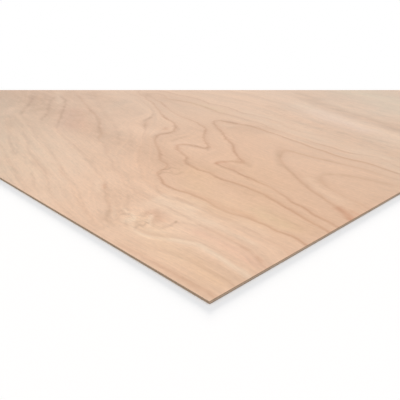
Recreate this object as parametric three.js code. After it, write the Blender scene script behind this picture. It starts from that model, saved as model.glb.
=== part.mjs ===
// Plywood sheet: three thin veneers of a pale hardwood glued into one flat panel, 4 by 8 feet.
//
// Frame: millimetres, +Z up. X runs across the sheet, Y runs along it, and the grain of both outer
// veneers runs along Y. The origin is the middle of the back face, on which the sheet lies.

import * as THREE from "three";

// Driving dimensions
const SHEET_WIDTH = 1220; // X, across the grain of the outer veneers
const SHEET_LENGTH = 2440; // Y, along the grain of the outer veneers
const BACK_VENEER_THICKNESS = 0.7;
const CORE_VENEER_THICKNESS = 1.8;
const FACE_VENEER_THICKNESS = 0.7;

// The veneers lie on each other without a gap: the height at which one ends is the very number at
// which the next begins.
const BACK_GLUE_LINE = BACK_VENEER_THICKNESS;
const FACE_GLUE_LINE = BACK_GLUE_LINE + CORE_VENEER_THICKNESS;
const SHEET_THICKNESS = FACE_GLUE_LINE + FACE_VENEER_THICKNESS;

// Wood, as each veneer shows it at the sawn edge or on its face
const FACE_WOOD = new THREE.MeshStandardMaterial({ color: "#e4c4a9", roughness: 0.55, metalness: 0 });
const CORE_WOOD = new THREE.MeshStandardMaterial({ color: "#b9977c", roughness: 0.8, metalness: 0 });
const BACK_WOOD = new THREE.MeshStandardMaterial({ color: "#d9b698", roughness: 0.6, metalness: 0 });

// One veneer over the whole sheet, between two heights. All the veneers are sawn together, so they
// share their four edges.
function veneer(name, underside, topside, wood) {
  const block = new THREE.BoxGeometry(SHEET_WIDTH, SHEET_LENGTH, 1);
  const corners = block.attributes.position;
  for (let corner = 0; corner < corners.count; corner += 1) {
    corners.setZ(corner, corners.getZ(corner) > 0 ? topside : underside);
  }
  const sheet = new THREE.Mesh(block, wood);
  sheet.name = name;
  return sheet;
}

const plywoodSheet = new THREE.Group();
plywoodSheet.add(
  veneer("back_veneer", 0, BACK_GLUE_LINE, BACK_WOOD),
  veneer("core_veneer", BACK_GLUE_LINE, FACE_GLUE_LINE, CORE_WOOD),
  veneer("face_veneer", FACE_GLUE_LINE, SHEET_THICKNESS, FACE_WOOD),
);

export default plywoodSheet;
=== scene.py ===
# %% [markdown]
# # A thin sheet of plywood
# Plywood is a stack of veneers, thin slices of wood, glued so that the grain of each crosses the
# grain of the next. This sheet has three. Its faces were peeled from a turning log, as paper runs
# off a roll, and that rotary cut is what draws the wide looping figure. The lesson sets up the view,
# works the figure out as a height map of growth rings, cuts the three veneers as meshes, and gives
# each cut surface of the wood its own finish.

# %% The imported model, which every piece is fitted to
import math

import bpy
import numpy as np
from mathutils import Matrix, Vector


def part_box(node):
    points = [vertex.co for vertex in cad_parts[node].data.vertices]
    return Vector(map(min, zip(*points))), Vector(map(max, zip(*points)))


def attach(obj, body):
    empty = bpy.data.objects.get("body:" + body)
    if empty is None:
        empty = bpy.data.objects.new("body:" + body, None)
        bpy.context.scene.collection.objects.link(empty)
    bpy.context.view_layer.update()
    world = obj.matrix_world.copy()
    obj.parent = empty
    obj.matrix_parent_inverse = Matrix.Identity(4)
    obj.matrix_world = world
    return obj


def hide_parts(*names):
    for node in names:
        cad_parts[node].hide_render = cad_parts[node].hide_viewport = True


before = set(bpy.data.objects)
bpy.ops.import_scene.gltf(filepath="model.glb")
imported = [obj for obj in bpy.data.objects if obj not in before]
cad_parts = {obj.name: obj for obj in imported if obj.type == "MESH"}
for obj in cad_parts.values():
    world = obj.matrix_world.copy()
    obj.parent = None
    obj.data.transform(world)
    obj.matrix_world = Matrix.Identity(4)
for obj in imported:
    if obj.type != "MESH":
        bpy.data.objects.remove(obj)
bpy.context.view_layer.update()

MM = 0.001
FACE, CORE, BACK = (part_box(name) for name in ("face_veneer", "core_veneer", "back_veneer"))
SHEET_LOW = np.array(BACK[0])
SHEET_HIGH = np.array(FACE[1])
print("sheet in mm:", np.round((SHEET_HIGH - SHEET_LOW) / MM, 2))

# %% [markdown]
# ## The view
# The eye is low over the near corner and looks along the sheet's diagonal, so the two edges run
# away to either side. A camera's place could be found by moving it by hand. Here it is measured
# from the corner instead: how high the eye is above the face, how far back, and where it points.
# The sheet goes on for two metres past what is of interest, so the view ends at a set distance,
# level across the frame, and the white background takes over there.

# %% Camera
LENS = 50.0  # mm, on a sensor SENSOR mm wide
SENSOR = 36.0
EYE_ABOVE_FACE = 297.7 * MM
EYE_BEHIND_CORNER = 425.0 * MM
EYE_LEFT_OF_CORNER = 8.75 * MM
HEADING = math.radians(44.08)  # clockwise from +Y, as on a compass
PITCH = math.radians(24.66)  # below the horizon
FAR_EDGE_OF_VIEW = math.radians(13.46)  # below the horizon
NEAR_END_OF_VIEW = 20 * MM

ahead = np.array([math.sin(HEADING), math.cos(HEADING), 0.0])
aside = np.array([math.cos(HEADING), -math.sin(HEADING), 0.0])
near_corner = np.array([SHEET_LOW[0], SHEET_LOW[1], SHEET_HIGH[2]])
eye = near_corner - EYE_BEHIND_CORNER * ahead - EYE_LEFT_OF_CORNER * aside
eye[2] += EYE_ABOVE_FACE

camera = bpy.data.objects.new("camera", bpy.data.cameras.new("camera"))
camera.data.lens = LENS
camera.data.sensor_width = SENSOR
camera.location = eye
camera.rotation_euler = (math.pi / 2 - PITCH, 0.0, -HEADING)
far_edge = EYE_ABOVE_FACE / math.tan(FAR_EDGE_OF_VIEW)
camera.data.clip_start = NEAR_END_OF_VIEW
camera.data.clip_end = far_edge * math.cos(PITCH) + EYE_ABOVE_FACE * math.sin(PITCH)
bpy.context.collection.objects.link(camera)
bpy.context.scene.camera = camera
print("eye at", np.round(eye, 3), "view ends", round(camera.data.clip_end, 3), "m away")

# %% [markdown]
# ## Four small tools
# Colours are written as a painter would pick them on a screen, in sRGB, and one function turns them
# into the linear numbers that light is worked out with. A second adds a node to a material, and
# takes the node's inputs as a dictionary, so that most nodes fit on a line. A third eases from 0 to
# 1 with no corner at either end. The last makes soft noise with numpy: random heights on a coarse
# lattice, blended smoothly between.

# %% Colour, node, ease and noise
def paint(code):
    """A colour #rrggbb in sRGB as linear red, green, blue and full alpha."""
    srgb = np.array([int(code[at:at + 2], 16) for at in (1, 3, 5)]) / 255
    linear = np.where(srgb <= 0.04045, srgb / 12.92, ((srgb + 0.055) / 1.055) ** 2.4)
    return (*linear, 1.0)


def add(tree, kind, inputs=None, **settings):
    """Adds a node: sets its properties, then gives each input a value, or links it to an output or
    to the first output of a node."""
    node = tree.nodes.new("ShaderNode" + kind)
    for name, value in settings.items():
        setattr(node, name, value)
    for socket, value in (inputs or {}).items():
        if isinstance(value, bpy.types.Node):
            value = value.outputs[0]
        if isinstance(value, bpy.types.NodeSocket):
            tree.links.new(value, node.inputs[socket])
        else:
            node.inputs[socket].default_value = value
    return node


def ease(start, end, value):
    """0 before start, 1 after end, and 3t^2 - 2t^3 between, where t is the share of the way."""
    t = np.clip((value - start) / (end - start), 0, 1)
    return t * t * (3 - 2 * t)


LATTICE = 512  # random heights each way
LATTICE_START = 64  # which of them lies at 0, with room below it


def soft_noise(across, along, wide, long, seed):
    """Noise from -1 to 1 whose blobs are wide by long mm: the four lattice values round a point,
    blended by the eased share of the way between them."""
    u, v = across / wide + LATTICE_START, along / long + LATTICE_START
    lattice = np.random.default_rng(seed).uniform(-1, 1, (LATTICE, LATTICE))
    i, j = np.floor(u).astype(int), np.floor(v).astype(int)
    s, t = ease(0, 1, u - i), ease(0, 1, v - j)
    near = lattice[i, j] * (1 - s) + lattice[i + 1, j] * s
    far = lattice[i, j + 1] * (1 - s) + lattice[i + 1, j + 1] * s
    return near * (1 - t) + far * t


print("paint('#e4c0a3') =", np.round(paint("#e4c0a3"), 3))

# %% [markdown]
# ## The figure of the face
# A log grows one ring a year, and the knife that peels it cuts slowly through ring after ring. Give
# each point of the veneer the number of the ring it lies in, and the dark lines of the figure are
# where that number passes a whole one, as contour lines on a map. The lines could be painted one by
# one, but a map keeps them from crossing and gives the tones between them too.
#
# Near the corner the figure is laid out as points that a ring passes through. Places on
# the sheet are in mm from the near corner: how far across it, along the short edge, and then how
# far along it.

# %% Ring lines, given point by point
# ring number, then the points (across, along) that it passes through
RING_LINES = [
    (0, [(281, 6), (291, 45), (302, 78), (316, 97), (333, 107), (347, 99), (358, 82), (365, 58),
         (369, 38), (375, 12)]),
    (1, [(238, 4), (256, 30), (270, 68), (284, 100), (302, 130), (324, 168), (340, 189), (360, 206),
         (378, 220), (386, 222), (385, 200), (385, 168), (389, 130), (395, 94), (396, 55),
         (397, 15)]),
    (2, [(211, 5), (217, 40), (227, 80), (240, 113), (247, 150), (252, 190), (256, 228), (260, 245),
         (269, 238), (277, 232), (282, 223), (289, 214), (297, 223), (306, 244), (324, 270),
         (342, 291), (352, 314), (370, 338), (386, 366), (397, 386), (409, 401), (419, 403),
         (427, 384), (433, 360), (440, 334), (437, 300), (433, 258), (427, 210), (421, 160),
         (419, 110), (417, 20)]),
    (3, [(193, 3), (197, 22), (202, 46), (207, 66), (213, 90), (220, 120), (222, 150), (221, 175),
         (224, 225), (223, 260), (230, 283), (243, 292), (251, 312), (261, 334), (272, 346),
         (284, 341), (290, 322), (300, 303), (310, 313), (324, 339), (340, 356), (360, 372),
         (374, 391), (382, 420), (387, 460), (395, 492), (406, 524), (418, 552), (431, 590),
         (442, 622), (453, 645), (460, 590), (470, 548), (473, 505), (468, 462), (462, 432),
         (466, 400), (464, 360), (455, 300), (449, 250), (444, 200), (441, 140), (440, 40)]),
    (4, [(149, 5), (151, 45), (153, 77), (148, 110), (148, 140), (152, 172), (147, 215), (149, 238),
         (160, 262), (172, 279), (190, 284), (202, 296), (206, 314), (220, 329), (238, 356),
         (252, 380), (266, 398), (280, 408), (292, 411), (303, 406), (314, 408), (330, 420),
         (346, 439), (356, 464), (364, 490), (378, 516), (390, 538), (400, 558), (416, 588),
         (436, 632), (470, 690), (494, 650), (499, 600), (497, 500), (492, 400), (489, 300),
         (486, 200), (484, 90)]),
    (5, [(126, 15), (131, 60), (134, 100), (134, 143), (131, 185), (129, 215), (134, 250), (152, 292),
         (176, 326), (204, 362), (240, 398), (268, 430), (294, 462), (316, 486), (334, 497),
         (352, 509), (370, 527), (388, 560), (404, 600), (424, 650), (455, 715)]),
    (5, [(497, 90), (506, 130), (512, 180), (512, 240), (520, 290), (538, 330), (552, 365),
         (562, 400), (564, 460), (556, 540)]),
    (5.5, [(256, 440), (290, 510), (322, 570), (350, 616), (360, 660)]),
    (6, [(84, 10), (92, 28), (96, 45), (98, 77), (99, 100), (101, 135), (104, 180), (104, 225),
         (112, 280), (135, 335), (162, 390), (194, 456), (208, 470), (222, 490), (234, 516),
         (250, 539), (266, 564), (282, 605), (301, 654), (317, 692), (328, 718), (338, 746),
         (352, 780)]),
    (6, [(540, 95), (548, 150), (556, 220), (572, 290), (590, 350), (604, 420)]),
    (7, [(59, 5), (66, 27), (69, 52), (70, 70), (68, 89), (58, 112), (46, 131), (41, 142), (41, 160),
         (36, 180), (40, 205), (56, 236), (80, 274), (96, 302), (106, 330), (121, 366), (134, 407),
         (147, 453), (154, 479), (162, 512), (174, 550), (186, 583), (204, 604), (227, 632),
         (250, 665), (277, 697), (297, 737), (312, 775)]),
    (7, [(610, 120), (623, 170), (633, 233), (637, 280), (650, 330), (668, 385)]),
    (8, [(35, 8), (37, 43), (37, 75), (32, 95), (25, 115), (20, 150), (15, 185), (18, 220), (30, 265),
         (46, 305), (66, 355), (84, 394), (94, 430), (101, 455), (110, 490), (124, 535), (142, 585),
         (160, 640), (176, 690), (190, 718), (214, 745), (236, 763), (258, 796), (280, 830)]),
    (9, [(9, 12), (8, 45), (5, 100), (2, 180), (4, 250), (16, 305), (38, 355), (60, 400), (70, 450),
         (77, 490), (90, 540), (107, 600), (124, 650), (142, 692), (168, 742), (198, 790),
         (238, 838)]),
    (10, [(20, 406), (30, 440), (40, 474), (52, 512), (66, 560), (88, 620), (112, 680), (140, 740),
          (180, 810)]),
]
print(sum(len(line) for ring, line in RING_LINES), "points on", len(RING_LINES), "ring lines")

# %% [markdown]
# ### The rings of the whole log
# Away from the corner the map is a formula. The log bulges along one line, which leans as it goes
# up the sheet, and the pattern comes round again after one turn of the log. A real scan of a veneer
# could be used here, but a formula goes on for as far as the sheet does and never repeats a tile.

# %% Rings by formula
LOG_TURN = 1000.0  # mm of veneer for one turn of the log
LEAN_PERIOD = 2600.0  # mm along the sheet for the bulge to lean over and back
BULGE_MIDDLE = 320.0  # mm across
BULGE_LEAN = 130.0  # mm to either side of that
FIRST_RING = -1.16  # on the bulge at the near edge
CLIMB = 5.96  # rings that the bulge climbs along the sheet, in the end
CLIMB_LENGTH = 500.0  # mm along for two thirds of that
SWELL = 1.6  # rings of slow rise and fall past the laid-out figure
SWELL_PERIOD = 1500.0  # mm along
SWELL_START = 900.0  # mm along, where it is 0
SWELL_COMES_IN = (500, 1300)  # mm along
SIDE_CLIMB = 5.0  # rings, half of what the log climbs from the bulge to its far side


def bulge(along):
    """The place across the sheet, in mm, where the log bulges: it leans to one side and back."""
    return BULGE_MIDDLE + BULGE_LEAN * np.sin(2 * np.pi * along / LEAN_PERIOD)


def peeled_log(across, along):
    """Ring number by formula: it climbs along the sheet towards a limit, as 1 - exp(-along), swells
    slowly, and climbs to both sides of the bulge as 1 - cos of the share of a turn of the log."""
    climb = CLIMB * (1 - np.exp(-along / CLIMB_LENGTH)) + FIRST_RING
    swell = SWELL * ease(*SWELL_COMES_IN, along)
    swell = swell * np.sin(2 * np.pi * (along - SWELL_START) / SWELL_PERIOD)
    return climb + swell + SIDE_CLIMB * (1 - np.cos(2 * np.pi * (across - bulge(along)) / LOG_TURN))


stations = np.array([0, 800, 1600, 2400])
print("rings on the bulge", stations, "mm along:", np.round(peeled_log(bulge(stations), stations), 1))

# %% [markdown]
# ### A springy plate through the points
# Near the corner the formula misses the listed points. Think of how far it misses as a
# thin springy plate, which each point pushes up or down by its own amount. Between the points the
# plate bends as softly as it can. This is a thin-plate spline: every point gets a pull, and one set
# of linear equations finds the pulls for which the plate passes through them all.

# %% Thin-plate spline
PLATE_SCALE = 300.0  # mm, keeps the spline's numbers near 1
PLATE_GIVE = 1e-4  # how far the plate may miss a point, which keeps it smooth


def plate(distance_squared):
    """How much a thin plate pulled at one point bends at a distance r: r^2 log r, and 0 at 0."""
    return 0.5 * distance_squared * np.log(np.maximum(distance_squared, 1e-12))


pins = np.array([point for ring, line in RING_LINES for point in line], float) / PLATE_SCALE
pin_rings = np.array([ring for ring, line in RING_LINES for point in line], float)
tilt = np.column_stack([np.ones(len(pins)), pins])
gaps = ((pins[:, None, :] - pins[None, :, :]) ** 2).sum(axis=2)
bending = plate(gaps) + PLATE_GIVE * np.eye(len(pins))
missed = pin_rings - peeled_log(*(pins.T * PLATE_SCALE))
# Each row says what all pulls add up to at one point. The last three keep the plate from flying off.
pulls = np.linalg.solve(np.block([[bending, tilt], [tilt.T, np.zeros((3, 3))]]),
                        np.concatenate([missed, np.zeros(3)]))


def laid_out_figure(across, along):
    """What the spline adds to the formula: each point's pull times the plate's bend, plus a tilt."""
    u, v = across / PLATE_SCALE, along / PLATE_SCALE
    added = pulls[-3] + pulls[-2] * u + pulls[-1] * v
    for (pin_u, pin_v), pull in zip(pins, pulls):
        added = added + pull * plate((u - pin_u) ** 2 + (v - pin_v) ** 2)
    return added


# mm across and mm along, over which the laid-out figure fades, and over which the wobbles come up
LAID_OUT = (650, 1150), (820, 1400)
HELD_STILL = (560, 800), (700, 950)
STILLNESS = 0.9  # share of the wobbles that is held back by the corner


def by_corner(across, along, stretches):
    """1 by the near corner and 0 far off: it falls, eased, over a stretch across and one along."""
    return (1 - ease(*stretches[0], across)) * (1 - ease(*stretches[1], along))


def face_rings(across, along):
    """Ring number over the face: the formula, the laid-out figure near the corner fading into it,
    and wobbles of two sizes that grow where the figure isn't laid out."""
    laid = by_corner(across, along, LAID_OUT)
    loose = 1 - STILLNESS * by_corner(across, along, HELD_STILL)
    wobble = 0.35 * soft_noise(across, along, 90, 260, seed=11)
    wobble = wobble + 0.13 * soft_noise(across, along, 26, 70, seed=12)
    return peeled_log(across, along) + laid * laid_out_figure(across, along) + loose * wobble


print("the formula misses the points by up to", round(float(np.abs(missed).max()), 1), "rings")

# %% [markdown]
# ## How dark each ring line is
# Some winters leave a hard dark line and others hardly any. So each ring has a boldness of its own,
# which also comes and goes along the line. It could be one number for all, but then the eye reads
# the figure as drawn with a pen. There are two tables: one near the corner, where the loops are the
# bold ones, and one for the rest of the sheet. Near the corner the lines fade towards the right,
# where the knife ran nearly along the rings, and beside the tops of the loops.

# %% Boldness of the lines
# ring number: boldness
NEAR_BOLDNESS = {-1: 0.2, 0: 0.18, 1: 0.4, 2: 0.8, 3: 0.72, 4: 0.86, 5: 0.2, 6: 0.3, 7: 0.1, 8: 0.15,
                 10: 0.12, 11: 0.3}
FAR_BOLDNESS = {1: 0.4, 2: 0.7, 3: 0.5, 4: 0.85, 5: 0.6, 6: 0.8, 7: 0.4, 8: 0.75, 9: 0.35, 10: 0.6,
                11: 0.25, 12: 0.55, 13: 0.3, 14: 0.5}

# share of boldness lost, and the mm across and along over which it goes or comes back
STRAIGHTS_LOSE, STRAIGHTS_ACROSS = 0.8, (428, 470)
STRAIGHTS_REGAIN, STRAIGHTS_ALONG = 0.6, (240, 420)
TOPS_LOSE, TOPS_ALONG, TOPS_ACROSS, TOPS_END = 0.5, (560, 620), (380, 420), (460, 480)
FAR_TABLE_FROM = (950, 1300)  # mm along and half the mm across, where the far table takes over


def face_boldness(across, along, rings):
    """Boldness by ring number, straight between the numbers of a table: the near table by the
    corner, less to its right and in a patch beside the tops of the loops, and the far table
    beyond, times slow noise."""
    near, far = (np.interp(rings, list(table), list(table.values()))
                 for table in (NEAR_BOLDNESS, FAR_BOLDNESS))
    right = STRAIGHTS_LOSE * ease(*STRAIGHTS_ACROSS, across)
    right = right * (1 - STRAIGHTS_REGAIN * ease(*STRAIGHTS_ALONG, along))
    beside = TOPS_LOSE * ease(*TOPS_ALONG, along) * ease(*TOPS_ACROSS, across)
    beside = beside * (1 - ease(*TOPS_END, across))
    away = ease(*FAR_TABLE_FROM, along + 0.5 * across)
    comes_and_goes = 0.85 + 0.35 * soft_noise(across, along, 30, 60, seed=21)
    return (near * (1 - right) * (1 - beside) * (1 - away) + far * away) * comes_and_goes


def steepness(rings, across, along):
    """How fast the ring number changes, in rings per mm: the length of its gradient on the grid."""
    per_along, per_across = np.gradient(rings, along, across)
    return np.hypot(per_along, per_across)


print("boldest ring near the corner:", max(NEAR_BOLDNESS, key=NEAR_BOLDNESS.get))

# %% [markdown]
# ## A soft brush
# What the ring map can't give is laid over it as a wood finisher would, with a soft brush: drifts of
# warmer and greyer wood, a cream streak, the stain round a pin knot. A stroke is a colour, how
# strongly it covers, how far it spreads, and its path, as a few points on the sheet. Where the spread
# is a pair, it is that to the left and to the right of the path. A stroke with one narrow side gets
# a hard edge there, which is how sapwood meets heartwood.

# %% Brush
TAPER = 0.17  # share of a path over which a stroke fades at either end
BLUNTNESS = 0.05  # share by which it stops short of fading out
BRUSH_REACH = 3  # spreads from the path, past which a stroke leaves nothing


def smooth_path(points, steps=5):
    """Points along a Catmull-Rom curve: between two points the path is the cubic whose slope at
    each is half the step from the point before it to the point after it."""
    p = np.array(points, float)
    if len(p) < 3:
        return p
    p = np.concatenate([[2 * p[0] - p[1]], p, [2 * p[-1] - p[-2]]])
    t = np.linspace(0, 1, steps, endpoint=False)[:, None]
    spans = [0.5 * (2 * b + (c - a) * t + (2 * a - 5 * b + 4 * c - d) * t**2
                    + (3 * b - a - 3 * c + d) * t**3) for a, b, c, d in zip(p, p[1:], p[2:], p[3:])]
    return np.concatenate([*spans, p[-2:-1]])


def coverage(across, along, spread, points):
    """How much of a stroke lands on each place: exp(-(d / s)^2), where d is the distance to the
    path and s the spread on that side of it. A path of three points or more fades at its ends."""
    left, right = np.broadcast_to(spread, 2)
    path = smooth_path(points)
    margin = BRUSH_REACH * max(left, right)
    low, high = path.min(axis=0) - margin, path.max(axis=0) + margin
    near = (across > low[0]) & (across < high[0]) & (along > low[1]) & (along < high[1])
    x, y = across[near], along[near]
    nearest, side, place = np.full(x.shape, np.inf), np.zeros(x.shape), np.zeros(x.shape)
    for number, (start, end) in enumerate(zip(path, path[1:])):
        way = end - start
        share = np.clip(((x - start[0]) * way[0] + (y - start[1]) * way[1]) / (way @ way), 0, 1)
        off_x, off_y = x - start[0] - share * way[0], y - start[1] - share * way[1]
        distance = off_x**2 + off_y**2
        closer = distance < nearest
        nearest = np.where(closer, distance, nearest)
        side = np.where(closer, way[0] * off_y - way[1] * off_x, side)
        place = np.where(closer, (number + share) / (len(path) - 1), place)
    ends = 1.0
    if len(points) > 2:
        ends = ease(0, TAPER, place + BLUNTNESS) * ease(0, TAPER, 1 + BLUNTNESS - place)
    covered = np.zeros(across.shape)
    covered[near] = np.exp(-nearest / np.where(side > 0, left, right) ** 2) * ends
    return covered


test_across = np.array([0.0, 5.0, 10.0])
print("a stroke 5 mm wide covers, 0, 5 and 10 mm from its path:",
      np.round(coverage(test_across, np.zeros(3), 5, [(0, -9), (0, 9)]), 2))

# %% [markdown]
# ## The colours of the wood
# Pale and warm make up most of the sheet. The others are what a few square millimetres of it can
# look like: cream and bone where sapwood comes through, rust and umber in a resin line or round a
# knot. Some stand for light instead: sage is painted sheen where the light catches the fibres from
# the side, the widest grey and brown drifts and the grey-brown far shade are painted shade where the
# light falls off, and one cream streak by the corner is painted sheen beside a ring line.

# %% Woods
WOODS = {
    "pale": "#e7c4a8",
    "warm": "#d6ac8b",
    "cream": "#f3dcc2",
    "bone": "#dac6b0",
    "blush": "#e6cabb",
    "sage": "#cfc0a5",
    "straw": "#dfc39c",
    "honey": "#e9c290",
    "rose": "#dbab92",
    "rust": "#bd7c56",
    "brown": "#a9805f",
    "umber": "#86583a",
    "grey": "#a3927f",
    # painted shade, laid over the wood away from the near corner where the light falls off
    "painted_far_shade": "#a3896f",
}


def lay_over(colour, wood, covered):
    """colour with the wood laid over it, as far as covered says at each place."""
    covered = covered[..., None]
    return colour * (1 - covered) + np.array(paint(WOODS[wood])) * covered


print(len(WOODS), "woods; half umber over pale:",
      np.round(lay_over(np.array(paint(WOODS["pale"])), "umber", np.array(0.5)), 2))

# %% [markdown]
# ## Drifts of tone
# The widest strokes come first. They shift the tone of the wood over a hand's breadth or more, as
# mineral stain and the turn from sapwood to heartwood do, and most are too faint to see by
# themselves. The widest brown and grey ones, far out on the left and down the right, are painted
# shade instead, where the light falls off away from the near corner. Noise could make such drifts
# too, but near the corner they belong to places.

# %% Drifts
# wood, how strongly it covers, spread in mm, points of the path
DRIFTS = [
    # Painted shade: these two wide brown drifts darken the far left, where the light falls off.
    ("brown", 0.30, 150, [(230, 500), (235, 660), (235, 860), (190, 1150), (90, 1450), (20, 1800),
                          (-20, 2100)]),
    ("brown", 0.40, 160, [(220, 680), (225, 900), (180, 1180), (90, 1450), (20, 1800), (-20, 2100)]),
    ("brown", 0.21, 28, [(208, 260), (220, 380), (223, 480), (234, 640)]),
    ("brown", 0.14, 18, [(345, 540), (352, 590)]),
    ("brown", 0.14, 20, [(365, 640), (375, 740)]),
    ("brown", 0.14, 26, [(440, 520), (446, 640)]),
    ("brown", 0.18, 16, [(452, 560), (452, 640)]),
    ("brown", 0.12, 22, [(352, 660), (362, 720)]),
    ("brown", 0.10, 22, [(182, 380), (190, 500)]),
    ("brown", 0.10, 22, [(298, 480), (304, 520)]),
    ("brown", 0.08, 40, [(50, 440), (75, 520)]),
    ("brown", 0.22, 40, [(200, 860), (250, 900)]),
    ("rust", 0.10, 18, [(606, 120), (628, 190), (640, 240)]),
    ("grey", 0.09, 110, [(350, -20), (400, 100), (450, 240)]),
    ("bone", 0.34, 45, [(670, 190), (740, 230), (830, 280)]),
    ("cream", 0.26, (16, 18), [(110, 100), (106, 160), (102, 215)]),
    ("brown", 0.24, 28, [(404, 368), (432, 312)]),
    ("brown", 0.10, 20, [(80, 232), (86, 268)]),
    ("brown", 0.12, 22, [(222, 235), (226, 270)]),
    ("brown", 0.10, 16, [(178, 40), (182, 90)]),
    ("brown", 0.20, 30, [(470, 20), (490, 80), (528, 180), (540, 280)]),
    ("rust", 0.12, 28, [(212, 520), (226, 560)]),
    # Painted shade: a faint wide grey drift on the left, where the light falls off.
    ("grey", 0.10, 80, [(30, 620), (60, 530)]),
    # Painted sheen: a sage veil where the light catches the fibres from the side.
    ("sage", 0.22, 100, [(-10, 380), (60, 540), (150, 800), (60, 1200)]),
    ("brown", 0.10, 30, [(10, 30), (60, -10)]),
    ("grey", 0.14, 30, [(6, 440), (10, 380)]),
    # Painted shade: this grey drift and the next darken and grey the right-hand side, where less light
    # falls.
    ("grey", 0.34, (130, 150), [(700, -50), (770, 250), (820, 600), (780, 1000), (680, 1350),
                                (590, 1750), (570, 2100), (640, 2500)]),
    ("grey", 0.20, 80, [(575, 20), (610, 200), (640, 400)]),
    ("bone", 0.12, 130, [(60, 480), (300, 600), (540, 440)]),
    ("bone", 0.30, 42, [(425, -20), (450, 100), (470, 240), (500, 440)]),
    ("bone", 0.22, 50, [(540, 80), (585, 240), (620, 400)]),
    # Painted sheen: a sage veil where the light catches the fibres from the side.
    ("sage", 0.34, (44, 60), [(700, 60), (740, 170), (790, 300), (830, 450)]),
    ("blush", 0.24, 28, [(556, 150), (584, 250), (606, 330)]),
    ("pale", 0.20, 45, [(150, 90), (150, 250)]),
    ("pale", 0.35, 24, [(284, 430), (290, 520)]),
    ("pale", 0.35, 22, [(278, 350), (292, 310)]),
    ("cream", 0.12, (30, 24), [(60, 60), (62, 130), (50, 175)]),
    ("brown", 0.15, 14, [(128, 342), (136, 388)]),
    ("brown", 0.12, 16, [(288, 508), (302, 478)]),
    ("brown", 0.12, 9, [(204, 190), (211, 160), (207, 122)]),
    ("brown", 0.10, 12, [(278, 12), (318, 8)]),
    ("brown", 0.11, 16, [(188, 480), (200, 545)]),
    ("brown", 0.13, 6, [(212, 95), (219, 120), (220, 150), (217, 190), (216, 225)]),
    ("brown", 0.12, 6, [(12, 105), (14, 130), (12, 160)]),
    ("cream", 0.12, 9, [(134, 40), (136, 70), (136, 100)]),
    ("cream", 0.10, 9, [(44, 8), (45, 30)]),
    ("brown", 0.10, 60, [(170, 640), (270, 675)]),
    ("brown", 0.07, 24, [(208, 500), (244, 562)]),
    ("grey", 0.09, 34, [(150, 715), (228, 880)]),
    ("brown", 0.11, 9, [(82, 254), (88, 270)]),
    ("brown", 0.11, 9, [(96, 222), (102, 240)]),
    ("brown", 0.12, 6, [(9, 193), (13, 211)]),
    ("brown", 0.10, 9, [(133, 286), (143, 304)]),
    ("brown", 0.08, 9, [(148, 280), (153, 259)]),
    ("brown", 0.09, 10, [(12, 352), (20, 340)]),
    ("brown", 0.07, 14, [(60, 540), (82, 548)]),
    ("brown", 0.09, 8, [(185, 26), (189, 8)]),
    ("cream", 0.12, 4, [(2, 2), (8, -2)]),
    ("cream", 0.09, 9, [(162, 392), (160, 372)]),
    ("cream", 0.09, 11, [(313, 604), (307, 585)]),
    ("brown", 0.08, 12, [(30, 480), (36, 468)]),
    ("brown", 0.09, 7, [(24, 222), (28, 210)]),
    ("brown", 0.09, 8, [(80, 414), (84, 404)]),
    ("cream", 0.09, 6, [(33, 96), (34, 72)]),
    ("cream", 0.08, 8, [(93, 480), (89, 466)]),
    ("cream", 0.09, 5, [(104, 119), (106, 102)]),
    ("cream", 0.09, 5, [(258, 205), (254, 188)]),
    ("cream", 0.09, 5, [(40, 222), (43, 211)]),
    ("brown", 0.09, 5, [(177, 67), (176, 50)]),
    ("grey", 0.11, 26, [(70, 545), (110, 635), (155, 724), (220, 860)]),
    ("honey", 0.15, 28, [(232, 270), (190, 215), (152, 155), (168, 75), (190, 10)]),
    ("honey", 0.08, 40, [(300, 240), (240, 150), (185, 90)]),
    ("honey", 0.14, 20, [(60, 200), (48, 145), (36, 95), (36, 50), (14, 0)]),
    ("bone", 0.16, 42, [(560, 130), (500, 95), (450, 70)]),
    ("grey", 0.07, 24, [(400, 30), (360, 8), (320, -10)]),
    ("grey", 0.10, 50, [(790, 230), (870, 310)]),
    ("bone", 0.15, 34, [(110, 460), (92, 380), (48, 350), (6, 285)]),
]
print(len(DRIFTS), "drifts")
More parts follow.
